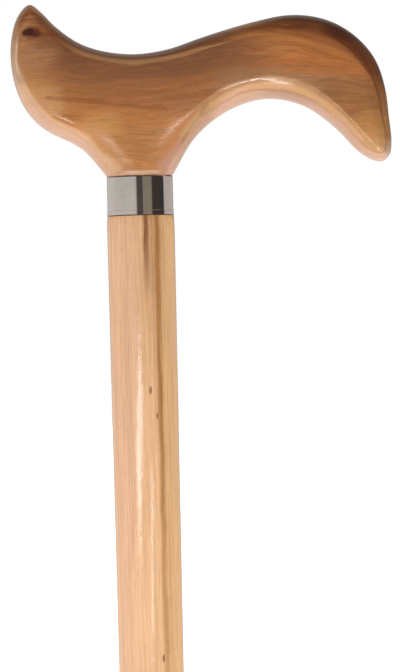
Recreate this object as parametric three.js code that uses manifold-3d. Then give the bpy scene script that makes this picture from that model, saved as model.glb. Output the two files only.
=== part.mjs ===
// A wooden walking stick: a carved palm handle with a long tail, a polished metal collar over the
// joint, a turned and tapering shaft with a steel stud inside the joint, and a rubber ferrule.
// Millimetres, +Z up. The origin is the centre of the ferrule's tread, and the handle's long tail
// points along +X. The stick is the same on both sides of the XZ plane.

import * as THREE from "three";
import { mergeVertices } from "three/addons/utils/BufferGeometryUtils.js";
import Module from "manifold-3d";

// Whole stick
const stickHeight = 920; // from the tread to the tip of the handle's nose

// Collar
const collarDiameter = 22;
const collarHeight = 13.2;
const collarWall = 0.8;
const collarEdgeRound = 0.3;
const collarRimHeight = 1.7; // the turned rim at the lower end
const collarRimStand = 0.1;

// Handle, seen from the side
const handleRise = 58.06; // from the collar's upper end to the tip of the nose
const noseReach = 42.4; // from the shaft's axis
const tailReach = 84.6;
const neckOverhang = 0.1; // how far the wood stands proud of the collar, all round

// Handle, across the hand
const palmThickness = 24.4;
const noseThickness = 20;
const tailThickness = 18.6;
const neckBlend = 17; // the way in which the round neck becomes the flat-sided body
const sideCrown = 0.3; // how far the flat sides swell
const sideCrownReach = 12;
const shoulderRound = 0.55; // softens the shoulder between a rounded edge and the side

// Depth of the handle's rounded edge, on each stretch of its outline
const neckEdge = 5.8;
const bellyEdge = 5.6;
const noseEdge = 2.9;
const palmEdge = 3.3;
const humpEdge = 3.7;
const tailOuterEdge = 4.2;
const tailTipEdge = 3.6;
const tailInnerEdge = 5.2;
const archEdge = 6.2;

// Degrees that the rounded edge turns from its middle line to the shoulder
const topTurn = 74;
const tailTurn = 66;
const undersideTurn = 58;

// Shaft
const shaftTopDiameter = 22.6;
const shaftFootDiameter = 16.6;
const shoulderLength = 6; // the shaft swells from the collar to its full size in this length
const shoulderOverhang = 0.1;
const shaftFootChamfer = 1;

// Joint inside the collar
const handleSpigotLength = 6;
const spigotChamfer = 0.5;
const spigotRoot = 4; // how far the spigot's core runs up inside the neck
const glueLine = 0.15; // between each spigot and the collar's wall
const jointLine = 0.1; // between the collar's ends and the wood
const spigotGap = 0.3; // between the two spigots

// Threaded stud
const studDiameter = 8;
const studInHandle = 28;
const studInShaft = 34;
const studChamfer = 1.2;
const studClearance = 0.2;
const boreEndGap = 1;
const boreCountersink = 0.6;

// Ferrule
const ferruleHeight = 46;
const ferruleBase = 10; // rubber under the socket
const ferruleFootDiameter = 34;
const ferruleFootHeight = 6.5;
const ferruleFootDraft = 0.8; // how much the foot narrows towards its top
const ferruleEdgeRound = 1.4;
const ferruleFlareHeight = 13; // the hollow curve from the foot to the neck
const ferruleWall = 3.3;
const ferruleLipHeight = 4.4;
const ferruleLipStand = 1.1;
const ferruleMouthChamfer = 1;
const socketClearance = 0.2;

// Bands round the ferrule's neck, and grip ribs in its socket
const neckBandCount = 3;
const neckBandHeight = 2;
const neckBandStand = 0.6;
const neckBandEase = 0.4;
const gripRibCount = 3;
const gripRibHeight = 2.4;
const gripRibStand = 0.7;
const gripRibEase = 0.9;

// Grooves in the ferrule's tread
const treadPadRadius = 4.4;
const treadGrooveCount = 2;
const treadGrooveWidth = 1.7;
const treadGrooveDepth = 1.5;
const treadLandWidth = 2.9;

// Washer on the socket's floor
const washerThickness = 1.5;
const washerHole = 5;
const washerClearance = 0.3;
const washerEdge = 0.25;
const seatGap = 0.05; // between faces that rest on each other

// Fineness of the surfaces
const roundFacets = 48;
const ferruleFacets = 40;
const studFacets = 24;
const cornerSteps = 3;
const curveSteps = 7;
const noseRibCount = 29;
const neckRibCount = 12;
const tailRibCount = 40;
const undersideRowCount = 6;
const sideRowCount = 7;
const topRowCount = 5;
const outlineStepCount = 20; // straight pieces between two points of the handle's outline
const ribSampleCount = 160;
const rowTurnWeight = 6; // a turn of one radian spaces the rows as this length does
const weldDistance = 1e-4;

// Sizes that follow from the driving dimensions
const collarRadius = collarDiameter / 2;
const collarBore = collarRadius - collarWall;
const neckRadius = collarRadius + neckOverhang;
const spigotRadius = collarBore - glueLine;
const studRadius = studDiameter / 2;
const boreRadius = studRadius + studClearance;
const shaftTopRadius = shaftTopDiameter / 2;
const shaftFootRadius = shaftFootDiameter / 2;

// Heights above the ground
const neckHeight = stickHeight - handleRise;
const collarTop = neckHeight - jointLine;
const collarFoot = collarTop - collarHeight;
const shoulderHeight = collarFoot - jointLine;
const shaftSpigotTop = neckHeight - handleSpigotLength - spigotGap;
const studTop = shaftSpigotTop + studInHandle;
const studFoot = shaftSpigotTop - studInShaft;
const washerFoot = ferruleBase + seatGap;
const shaftFoot = washerFoot + washerThickness + seatGap;

// The handle's side outline, from the left of the neck round the belly, the nose, the palm rest,
// the hump, the tail and the arch to the right of the neck. Each point holds its side (-1 nose,
// 1 tail), its share of the way from the neck's wall to that side's reach, its share of the
// handle's rise, and the depth and turn of the rounded edge there.
const outlineShares = [
  [-1, 0, 0, neckEdge, undersideTurn],
  [-1, 0.112, 0.079, neckEdge, undersideTurn],
  [-1, 0.24, 0.157, neckEdge, undersideTurn],
  [-1, 0.413, 0.213, bellyEdge, undersideTurn],
  [-1, 0.6, 0.262, bellyEdge, undersideTurn],
  [-1, 0.755, 0.33, bellyEdge, undersideTurn],
  [-1, 0.9, 0.45, bellyEdge, undersideTurn],
  [-1, 0.987, 0.64, noseEdge, topTurn],
  [-1, 0.98, 0.804, noseEdge, topTurn],
  [-1, 0.9, 0.939, noseEdge, topTurn],
  [-1, 0.774, 1, noseEdge, topTurn],
  [-1, 0.66, 0.959, noseEdge, topTurn],
  [-1, 0.515, 0.877, noseEdge, topTurn],
  [-1, 0.28, 0.78, palmEdge, topTurn],
  [-1, 0.026, 0.727, palmEdge, topTurn],
  [0, 0, 0.702, palmEdge, topTurn],
  [1, 0.011, 0.732, palmEdge, topTurn],
  [1, 0.13, 0.783, palmEdge, topTurn],
  [1, 0.38, 0.871, humpEdge, topTurn],
  [1, 0.556, 0.907, humpEdge, topTurn],
  [1, 0.711, 0.876, humpEdge, topTurn],
  [1, 0.836, 0.786, humpEdge, topTurn],
  [1, 0.929, 0.649, tailOuterEdge, tailTurn],
  [1, 0.974, 0.479, tailOuterEdge, tailTurn],
  [1, 0.989, 0.3, tailOuterEdge, tailTurn],
  [1, 0.998, 0.16, tailTipEdge, tailTurn],
  [1, 0.987, 0.088, tailTipEdge, tailTurn],
  [1, 0.955, 0.053, tailTipEdge, tailTurn],
  [1, 0.905, 0.062, tailTipEdge, tailTurn],
  [1, 0.838, 0.118, tailInnerEdge, undersideTurn],
  [1, 0.745, 0.245, tailInnerEdge, undersideTurn],
  [1, 0.6, 0.38, archEdge, undersideTurn],
  [1, 0.428, 0.425, archEdge, undersideTurn],
  [1, 0.26, 0.363, archEdge, undersideTurn],
  [1, 0.11, 0.22, neckEdge, undersideTurn],
  [1, 0, 0, neckEdge, undersideTurn],
];
const noseTipIndex = 10;
const neckLeftIndex = 14; // above the neck's left wall, on the palm rest
const neckRightIndex = 16;
const tailTipIndex = 27;
const poleCrowdingPower = 1.35; // above 1, the ribs lie closer together towards the tips
const noseTopPower = 0.8; // below 1, the ribs fan out round the nose
const shallowShare = 0.85; // where no point of a rib is a full edge deep, its shoulder is this deep

const wood = { roughness: 0.3, metalness: 0 };
const materials = {
  handle: new THREE.MeshStandardMaterial({ color: 0xa8683a, ...wood }),
  shaft: new THREE.MeshStandardMaterial({ color: 0xdba680, ...wood }),
  collar: new THREE.MeshStandardMaterial({ color: 0xc9c4bd, roughness: 0.08, metalness: 1 }),
  threaded_stud: new THREE.MeshStandardMaterial({ color: 0x9b9da0, roughness: 0.35, metalness: 1 }),
  ferrule: new THREE.MeshStandardMaterial({ color: 0x1d1d1e, roughness: 0.75, metalness: 0 }),
  ferrule_washer: new THREE.MeshStandardMaterial({ color: 0xaeb0b2, roughness: 0.4, metalness: 1 }),
};

const wasm = await Module();
wasm.setup();

// A closed mesh as a solid that can be joined and cut.
function solidFrom(geometry) {
  const bare = geometry.clone();
  bare.deleteAttribute("normal");
  bare.deleteAttribute("uv");
  const merged = mergeVertices(bare, weldDistance);
  return new wasm.Manifold(
    new wasm.Mesh({
      numProp: 3,
      vertProperties: merged.attributes.position.array,
      triVerts: new Uint32Array(merged.index.array),
    }),
  );
}

function geometryFrom(solid) {
  const { vertProperties, triVerts } = solid.getMesh();
  const geometry = new THREE.BufferGeometry();
  geometry.setAttribute("position", new THREE.BufferAttribute(vertProperties, 3));
  geometry.setIndex(new THREE.BufferAttribute(triVerts, 1));
  geometry.computeVertexNormals();
  return geometry;
}

// A solid of revolution about Z. The profile's [radius, height] points run outwards from the axis
// at the foot, up the outside and back to the axis, or close on themselves.
function turned(profile, facets) {
  const points = profile.map(([radius, height]) => new THREE.Vector2(radius, height));
  return new THREE.LatheGeometry(points, facets).rotateX(Math.PI / 2);
}

// Profile points on an elliptic arc about a centre, between two angles in degrees.
function arc([radius, height], [acrossRadius, upRadius], from, to, steps) {
  const points = [];
  for (let i = 0; i <= steps; i += 1) {
    const angle = THREE.MathUtils.degToRad(from + ((to - from) * i) / steps);
    points.push([radius + acrossRadius * Math.cos(angle), height + upRadius * Math.sin(angle)]);
  }
  return points;
}

// A raised band on a wall that runs from one height to another, as profile points. The wall's
// radius at a height comes from wallAt, and a negative stand raises the band inwards.
function band(wallAt, from, to, stand, ease) {
  const slope = Math.sign(to - from) * ease;
  return [
    [wallAt(from), from],
    [wallAt(from + slope) + stand, from + slope],
    [wallAt(to - slope) + stand, to - slope],
    [wallAt(to), to],
  ];
}

// Handle

const outline = new THREE.CatmullRomCurve3(
  outlineShares.map(([side, outShare, upShare]) => {
    const reach = side < 0 ? noseReach : tailReach;
    const out = neckRadius + outShare * (reach - neckRadius);
    return new THREE.Vector3(side * out, 0, upShare * handleRise);
  }),
  false,
  "centripetal",
);

// The outline as short straight pieces, with the edge's depth and turn at each joint.
const outlinePlaces = [];
const lastPoint = outlineShares.length - 1;
for (let i = 0; i <= lastPoint * outlineStepCount; i += 1) {
  const point = i / outlineStepCount;
  const before = outlineShares[Math.floor(point)];
  const after = outlineShares[Math.ceil(point)];
  const share = point - Math.floor(point);
  outlinePlaces.push({
    place: outline.getPoint(point / lastPoint),
    depth: THREE.MathUtils.lerp(before[3], after[3], share),
    turn: THREE.MathUtils.lerp(before[4], after[4], share),
  });
}

// The distance from a place in the side view to the outline, and the edge's depth and turn at the
// outline's nearest place.
function nearestOutline(x, z) {
  let nearest = { distance: Infinity };
  for (let i = 0; i + 1 < outlinePlaces.length; i += 1) {
    const before = outlinePlaces[i];
    const after = outlinePlaces[i + 1];
    const spanX = after.place.x - before.place.x;
    const spanZ = after.place.z - before.place.z;
    const offX = x - before.place.x;
    const offZ = z - before.place.z;
    const along = (offX * spanX + offZ * spanZ) / (spanX * spanX + spanZ * spanZ);
    const share = THREE.MathUtils.clamp(along, 0, 1);
    const distance = Math.hypot(offX - share * spanX, offZ - share * spanZ);
    if (distance < nearest.distance) nearest = { distance, before, after, share };
  }
  const { distance, before, after, share } = nearest;
  const depth = THREE.MathUtils.lerp(before.depth, after.depth, share);
  const turn = THREE.MathUtils.lerp(before.turn, after.turn, share);
  return { distance, depth, turn };
}

// Half the handle's flat-to-flat thickness at a distance along X, before its sides swell.
function bodyHalf(x) {
  const reach = x < 0 ? noseReach : tailReach;
  const thickness = x < 0 ? noseThickness : tailThickness;
  const out = THREE.MathUtils.clamp((Math.abs(x) - neckRadius) / (reach - neckRadius), 0, 1);
  return THREE.MathUtils.lerp(palmThickness, thickness, out * out) / 2;
}

// The lesser of two lengths, with the corner between them rounded.
function softLeast(a, b, round) {
  const near = Math.max(round - Math.abs(a - b), 0);
  return Math.min(a, b) - (round > 0 ? (near * near) / (4 * round) : 0);
}

// The surface of the handle at a place in the side view: how far its front face stands from the
// middle plane, and how much of the edge's depth has been passed. The edge is part of an ellipse
// that runs into the flat side at a soft shoulder, and the neck's end is a true circle.
function surfaceAt(x, z) {
  const { distance, depth, turn } = nearestOutline(x, z);
  const spread = THREE.MathUtils.smoothstep(Math.hypot(x, z) - neckRadius, 0, neckBlend);
  const edgeDepth = THREE.MathUtils.lerp(neckRadius, depth, spread);
  const body = THREE.MathUtils.lerp(neckRadius, bodyHalf(x), spread);
  const edgeTurn = THREE.MathUtils.degToRad(THREE.MathUtils.lerp(90, turn, spread));
  const depthShare = distance / edgeDepth;
  const angle = Math.acos(Math.max(1 - depthShare * (1 - Math.cos(edgeTurn)), 0));
  const edge = (body * Math.sin(angle)) / Math.sin(edgeTurn);
  const inward = THREE.MathUtils.clamp((distance - edgeDepth) / sideCrownReach, 0, 1);
  const side = body + spread * sideCrown * inward * (2 - inward);
  return { half: softLeast(edge, side, spread * shoulderRound), depthShare };
}

// A stretch of the outline between two of its points, as a function from a share of the stretch's
// length to a place on it.
function stretch(fromIndex, toIndex) {
  const steps = Math.abs(toIndex - fromIndex) * outlineStepCount;
  const places = [];
  const lengths = [0];
  for (let i = 0; i <= steps; i += 1) {
    places.push(outlinePlaces[fromIndex * outlineStepCount + Math.sign(toIndex - fromIndex) * i].place);
    if (i > 0) lengths.push(lengths[i - 1] + places[i].distanceTo(places[i - 1]));
  }
  return (share) => {
    const wanted = share * lengths[steps];
    let i = 1;
    while (i < steps && lengths[i] < wanted) i += 1;
    const part = (wanted - lengths[i - 1]) / (lengths[i] - lengths[i - 1]);
    return places[i - 1].clone().lerp(places[i], part);
  };
}

// The foot and the head of every rib, from the tip of the nose to the tip of the tail. Between the
// neck's walls the feet lie on the neck's flat end.
function ribEnds() {
  const ends = [];
  const belly = stretch(noseTipIndex, 0);
  const noseTop = stretch(noseTipIndex, neckLeftIndex);
  for (let i = 0; i < noseRibCount; i += 1) {
    const share = (i / noseRibCount) ** poleCrowdingPower;
    ends.push([belly(share), noseTop(share ** noseTopPower)]);
  }
  const neckTop = stretch(neckLeftIndex, neckRightIndex);
  for (let i = 0; i <= neckRibCount; i += 1) {
    const share = i / neckRibCount;
    const across = -neckRadius * Math.cos(Math.PI * share);
    ends.push([new THREE.Vector3(across, 0, 0), neckTop(share)]);
  }
  const arch = stretch(tailTipIndex, lastPoint);
  const back = stretch(tailTipIndex, neckRightIndex);
  for (let i = tailRibCount - 1; i >= 0; i -= 1) {
    const share = (i / tailRibCount) ** poleCrowdingPower;
    ends.push([arch(share), back(share)]);
  }
  return ends;
}

// The shares along one rib at which its rows lie, with a row on each shoulder. Between them the
// steps are even in the way gone over the surface plus the turn made on it.
function rowShares(foot, head) {
  const samples = [];
  for (let i = 0; i <= ribSampleCount; i += 1) {
    const share = (1 - Math.cos((Math.PI * i) / ribSampleCount)) / 2;
    const place = foot.clone().lerp(head, share);
    const { half, depthShare } = surfaceAt(place.x, place.z);
    samples.push({ share, depthShare, place: place.setY(half) });
  }
  const heading = (i) => samples[i].place.clone().sub(samples[i - 1].place).normalize();
  let way = 0;
  samples.forEach((sample, i) => {
    if (i > 0) way += sample.place.distanceTo(samples[i - 1].place);
    if (i > 1) way += rowTurnWeight * heading(i).angleTo(heading(i - 1));
    sample.way = way;
  });
  const deepest = Math.max(...samples.map((sample) => sample.depthShare));
  const shoulder = deepest < 1 ? shallowShare * deepest : 1;
  const isDeep = (sample) => sample.depthShare >= shoulder;
  const crossing = (outer, inner) => {
    const part = (shoulder - outer.depthShare) / (inner.depthShare - outer.depthShare);
    return outer.way + part * (inner.way - outer.way);
  };
  const first = samples.findIndex(isDeep);
  const last = samples.findLastIndex(isDeep);
  const footShoulder = first > 0 ? crossing(samples[first - 1], samples[first]) : 0;
  const headShoulder = last < ribSampleCount ? crossing(samples[last + 1], samples[last]) : way;
  const marks = [];
  const addRows = (from, to, rows) => {
    for (let i = 0; i < rows; i += 1) marks.push(from + ((to - from) * i) / rows);
  };
  addRows(0, footShoulder, undersideRowCount);
  addRows(footShoulder, headShoulder, sideRowCount);
  addRows(headShoulder, way, topRowCount);
  marks.push(way);
  return marks.map((mark) => {
    let i = 1;
    while (i < ribSampleCount && samples[i].way < mark) i += 1;
    const before = samples[i - 1];
    const after = samples[i];
    const part = (mark - before.way) / (after.way - before.way);
    return before.share + part * (after.share - before.share);
  });
}

// The handle's closed surface, with the neck's flat end at height zero.
function carvedBody() {
  const positions = [];
  const indices = [];
  const addVertex = (x, y, z) => {
    positions.push(x, y, z);
    return positions.length / 3 - 1;
  };
  const addTriangle = (a, b, c) => {
    if (a !== b && b !== c && c !== a) indices.push(a, b, c);
  };
  const addQuad = (a, b, c, d) => {
    addTriangle(a, b, c);
    addTriangle(a, c, d);
  };
  const ribs = ribEnds().map(([foot, head], rib) => {
    const front = [];
    const back = [];
    const isTip = foot.distanceTo(head) < weldDistance;
    const shares = isTip ? [] : rowShares(foot, head);
    const lastRow = undersideRowCount + sideRowCount + topRowCount;
    for (let row = 0; row <= lastRow; row += 1) {
      const share = isTip ? 0 : shares[row];
      const place = foot.clone().lerp(head, share);
      const onNeckEnd = rib > noseRibCount && rib < noseRibCount + neckRibCount && row === 0;
      const onOutline = isTip || (row === 0 && !onNeckEnd) || row === lastRow;
      if (isTip && row > 0) {
        front.push(front[0]);
        back.push(front[0]);
      } else if (onOutline) {
        front.push(addVertex(place.x, 0, place.z));
        back.push(front[row]);
      } else {
        const { half } = surfaceAt(place.x, place.z);
        front.push(addVertex(place.x, -half, place.z));
        back.push(addVertex(place.x, half, place.z));
      }
    }
    return { front, back };
  });
  for (let i = 0; i + 1 < ribs.length; i += 1) {
    const here = ribs[i];
    const next = ribs[i + 1];
    for (let row = 0; row + 1 < here.front.length; row += 1) {
      addQuad(here.front[row], next.front[row], next.front[row + 1], here.front[row + 1]);
      addQuad(here.back[row + 1], next.back[row + 1], next.back[row], here.back[row]);
    }
    addQuad(here.front[0], here.back[0], next.back[0], next.front[0]);
  }
  const geometry = new THREE.BufferGeometry();
  geometry.setAttribute("position", new THREE.Float32BufferAttribute(positions, 3));
  geometry.setIndex(indices);
  return geometry;
}

// A blind bore that opens at the foot, with a countersunk mouth, as the solid to cut away.
function boreCutter(mouth, end) {
  return turned(
    [
      [0, mouth - spigotGap],
      [boreRadius + boreCountersink + spigotGap, mouth - spigotGap],
      [boreRadius, mouth + boreCountersink],
      [boreRadius, end],
      [0, end],
    ],
    studFacets,
  );
}

function makeHandle() {
  const spigotFoot = -handleSpigotLength;
  const spigot = turned(
    [
      [0, spigotFoot],
      [spigotRadius - spigotChamfer, spigotFoot],
      [spigotRadius, spigotFoot + spigotChamfer],
      [spigotRadius, spigotRoot],
      [0, spigotRoot],
    ],
    roundFacets,
  );
  const bore = boreCutter(spigotFoot, studTop + boreEndGap - neckHeight);
  const joined = solidFrom(carvedBody()).add(solidFrom(spigot));
  return geometryFrom(joined.subtract(solidFrom(bore)));
}

// Collar, with its foot at height zero

function makeCollar() {
  const rimRadius = collarRadius + collarRimStand;
  const round = [collarEdgeRound, collarEdgeRound];
  const footCorner = [rimRadius - collarEdgeRound, collarEdgeRound];
  const headCorner = [collarRadius - collarEdgeRound, collarHeight - collarEdgeRound];
  return turned(
    [
      [collarBore, 0],
      ...arc(footCorner, round, -90, 0, cornerSteps),
      [rimRadius, collarRimHeight - collarRimStand],
      [collarRadius, collarRimHeight],
      ...arc(headCorner, round, 0, 90, cornerSteps),
      [collarBore, collarHeight],
      [collarBore, 0],
    ],
    roundFacets,
  );
}

// Shaft

function shaftRadiusAt(height) {
  const share = (height - shaftFoot) / (shoulderHeight - shaftFoot);
  return THREE.MathUtils.lerp(shaftFootRadius, shaftTopRadius, share);
}

const shaftStationShares = [0.15, 0.3, 0.45, 0.6, 0.75, 0.9];

function makeShaft() {
  const shoulderRadius = collarRadius + shoulderOverhang;
  const swellFoot = shoulderHeight - shoulderLength;
  const swell = shaftRadiusAt(swellFoot) - shoulderRadius;
  const stations = shaftStationShares.map((share) => {
    const height = THREE.MathUtils.lerp(shaftFoot, swellFoot, share);
    return [shaftRadiusAt(height), height];
  });
  return turned(
    [
      [0, shaftFoot],
      [shaftFootRadius - shaftFootChamfer, shaftFoot],
      [shaftRadiusAt(shaftFoot + shaftFootChamfer), shaftFoot + shaftFootChamfer],
      ...stations,
      ...arc([shoulderRadius, swellFoot], [swell, shoulderLength], 0, 90, cornerSteps + 1),
      [spigotRadius, shoulderHeight],
      [spigotRadius, shaftSpigotTop - spigotChamfer],
      [spigotRadius - spigotChamfer, shaftSpigotTop],
      [boreRadius + boreCountersink, shaftSpigotTop],
      [boreRadius, shaftSpigotTop - boreCountersink],
      [boreRadius, studFoot - boreEndGap],
      [0, studFoot - boreEndGap],
    ],
    roundFacets,
  );
}

// Threaded stud. Its solid is the rod at the thread's crests.

function makeStud() {
  return turned(
    [
      [0, studFoot],
      [studRadius - studChamfer, studFoot],
      [studRadius, studFoot + studChamfer],
      [studRadius, studTop - studChamfer],
      [studRadius - studChamfer, studTop],
      [0, studTop],
    ],
    studFacets,
  );
}

// Ferrule

function socketRadiusAt(height) {
  return shaftRadiusAt(height) + socketClearance + gripRibStand;
}

function ferruleNeckRadiusAt(height) {
  return socketRadiusAt(height) + ferruleWall;
}

// The tread, from its centre pad outwards over the grooves.
function treadProfile() {
  const profile = [[0, 0]];
  let radius = treadPadRadius;
  for (let i = 0; i < treadGrooveCount; i += 1) {
    const outer = radius + treadGrooveWidth;
    const corners = [
      [radius, 0],
      [radius, treadGrooveDepth],
      [outer, treadGrooveDepth],
      [outer, 0],
    ];
    profile.push(...corners);
    radius = outer + treadLandWidth;
  }
  return profile;
}

// The outside, from the tread's edge up the foot, the flare, the banded neck and the rolled lip.
function ferruleOutside() {
  const footRadius = ferruleFootDiameter / 2;
  const footTopRadius = footRadius - ferruleFootDraft;
  const round = [ferruleEdgeRound, ferruleEdgeRound];
  const flareFoot = ferruleFootHeight;
  const flareTop = flareFoot + ferruleFlareHeight;
  const neckFootRadius = ferruleNeckRadiusAt(flareTop);
  const flareReach = footTopRadius - ferruleEdgeRound - neckFootRadius;
  const flareCentre = [neckFootRadius + flareReach, flareTop];
  const lipFoot = ferruleHeight - ferruleLipHeight;
  const lipRadii = [ferruleLipStand, ferruleLipHeight / 2];
  const lipMiddle = [ferruleNeckRadiusAt(lipFoot), ferruleHeight - ferruleLipHeight / 2];
  const pitch = (lipFoot - flareTop) / (neckBandCount + 1);
  const bands = [];
  for (let i = 1; i <= neckBandCount; i += 1) {
    const foot = flareTop + pitch * i - neckBandHeight / 2;
    bands.push(...band(ferruleNeckRadiusAt, foot, foot + neckBandHeight, neckBandStand, neckBandEase));
  }
  return [
    ...arc([footRadius - ferruleEdgeRound, ferruleEdgeRound], round, -90, 0, cornerSteps),
    ...arc([footTopRadius - ferruleEdgeRound, flareFoot - ferruleEdgeRound], round, 0, 90, cornerSteps),
    ...arc(flareCentre, [flareReach, -ferruleFlareHeight], 90, 180, curveSteps).slice(1),
    ...bands,
    ...arc(lipMiddle, lipRadii, -90, 90, curveSteps),
  ];
}

// The socket, from its mouth down over the grip ribs to its floor.
function ferruleSocket() {
  const mouth = socketRadiusAt(ferruleHeight);
  const pitch = (ferruleHeight - ferruleBase) / (gripRibCount + 1);
  const ribs = [];
  for (let i = 1; i <= gripRibCount; i += 1) {
    const head = ferruleHeight - pitch * i + gripRibHeight / 2;
    ribs.push(...band(socketRadiusAt, head, head - gripRibHeight, -gripRibStand, gripRibEase));
  }
  return [
    [mouth + ferruleMouthChamfer, ferruleHeight],
    [mouth, ferruleHeight - ferruleMouthChamfer],
    ...ribs,
    [socketRadiusAt(ferruleBase), ferruleBase],
    [0, ferruleBase],
  ];
}

function makeFerrule() {
  return turned([...treadProfile(), ...ferruleOutside(), ...ferruleSocket()], ferruleFacets);
}

function makeWasher() {
  const outer = shaftFootRadius + socketClearance + gripRibStand - washerClearance;
  const hole = washerHole / 2;
  const edge = [washerEdge, washerEdge];
  return turned(
    [
      [hole, 0],
      ...arc([outer - washerEdge, washerEdge], edge, -90, 0, cornerSteps),
      ...arc([outer - washerEdge, washerThickness - washerEdge], edge, 0, 90, cornerSteps),
      [hole, washerThickness],
      [hole, 0],
    ],
    ferruleFacets,
  );
}

function piece(name, geometry, height) {
  const mesh = new THREE.Mesh(geometry, materials[name]);
  mesh.name = name;
  mesh.position.z = height;
  return mesh;
}

const stick = new THREE.Group();
stick.add(
  piece("handle", makeHandle(), neckHeight),
  piece("collar", makeCollar(), collarFoot),
  piece("shaft", makeShaft(), 0),
  piece("threaded_stud", makeStud(), 0),
);

const tip = new THREE.Group();
tip.add(piece("ferrule", makeFerrule(), 0), piece("ferrule_washer", makeWasher(), washerFoot));

const walkingStick = new THREE.Group();
walkingStick.add(stick, tip);

export default walkingStick;
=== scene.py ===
"""A wooden walking stick: a carved, lacquered palm handle, a polished collar, a lacquered shaft,
the steel stud inside their joint, and a rubber ferrule with its washer. Metres, +Z up."""

import math
from types import SimpleNamespace

import bmesh
import bpy
from mathutils import Matrix, Vector, noise


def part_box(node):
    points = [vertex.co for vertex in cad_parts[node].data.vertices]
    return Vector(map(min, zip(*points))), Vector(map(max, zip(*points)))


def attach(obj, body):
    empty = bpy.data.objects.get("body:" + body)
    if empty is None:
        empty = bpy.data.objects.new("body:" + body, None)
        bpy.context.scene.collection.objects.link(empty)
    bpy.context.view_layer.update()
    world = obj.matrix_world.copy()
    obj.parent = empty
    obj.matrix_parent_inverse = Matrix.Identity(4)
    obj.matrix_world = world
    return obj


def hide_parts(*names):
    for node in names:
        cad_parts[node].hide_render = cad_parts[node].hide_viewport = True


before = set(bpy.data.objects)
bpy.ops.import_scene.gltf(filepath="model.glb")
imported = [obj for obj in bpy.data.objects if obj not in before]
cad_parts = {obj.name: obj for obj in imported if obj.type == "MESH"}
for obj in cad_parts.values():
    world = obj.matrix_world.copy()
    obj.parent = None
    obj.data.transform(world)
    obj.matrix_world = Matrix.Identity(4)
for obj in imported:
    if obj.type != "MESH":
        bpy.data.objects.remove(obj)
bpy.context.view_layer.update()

MM = 0.001
WELD = 1e-6  # vertices closer than this are one vertex

# The photograph's frame, in pixels, and the real size that one pixel shows on the stick
PHOTO_HEIGHT = 672
COLLAR_DIAMETER = 22 * MM
COLLAR_WIDTH_IN_PHOTO = 65.9
PIXEL = COLLAR_DIAMETER / COLLAR_WIDTH_IN_PHOTO

# Places that the pieces share, from the fixed frame
collar_low, collar_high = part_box("collar")
shaft_low, shaft_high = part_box("shaft")
stud_low, stud_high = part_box("threaded_stud")
ferrule_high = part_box("ferrule")[1]
washer_low, washer_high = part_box("ferrule_washer")
JOINT_LINE = 0.1 * MM
SHAFT_FOOT_RADIUS = 8.3 * MM
SHAFT_TOP_RADIUS = 11.3 * MM
neck = collar_high.z + JOINT_LINE
shoulder = collar_low.z - JOINT_LINE


def shaft_radius(height):
    share = (height - shaft_low.z) / (shoulder - shaft_low.z)
    return SHAFT_FOOT_RADIUS + share * (SHAFT_TOP_RADIUS - SHAFT_FOOT_RADIUS)


# Materials


class Term:
    """A node's output. Python's operators on it add Math nodes."""

    def __init__(self, finish, socket):
        self.finish = finish
        self.socket = socket

    def math(self, operation, *terms):
        return self.finish.node("Math", {"operation": operation}, dict(enumerate(terms)))

    def __add__(self, other):
        return self.math("ADD", self, other)

    def __radd__(self, other):
        return self.math("ADD", other, self)

    def __sub__(self, other):
        return self.math("SUBTRACT", self, other)

    def __rsub__(self, other):
        return self.math("SUBTRACT", other, self)

    def __mul__(self, other):
        return self.math("MULTIPLY", self, other)

    def __rmul__(self, other):
        return self.math("MULTIPLY", other, self)

    def __truediv__(self, other):
        return self.math("DIVIDE", self, other)

    def __rtruediv__(self, other):
        return self.math("DIVIDE", other, self)

    def __neg__(self):
        return self.math("MULTIPLY", self, -1)

    def __abs__(self):
        return self.math("ABSOLUTE", self)

    def swing(self, width):
        """A value from 0 to 1 as a swing of a given width about nought."""
        return (self - 0.5) * width


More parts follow.
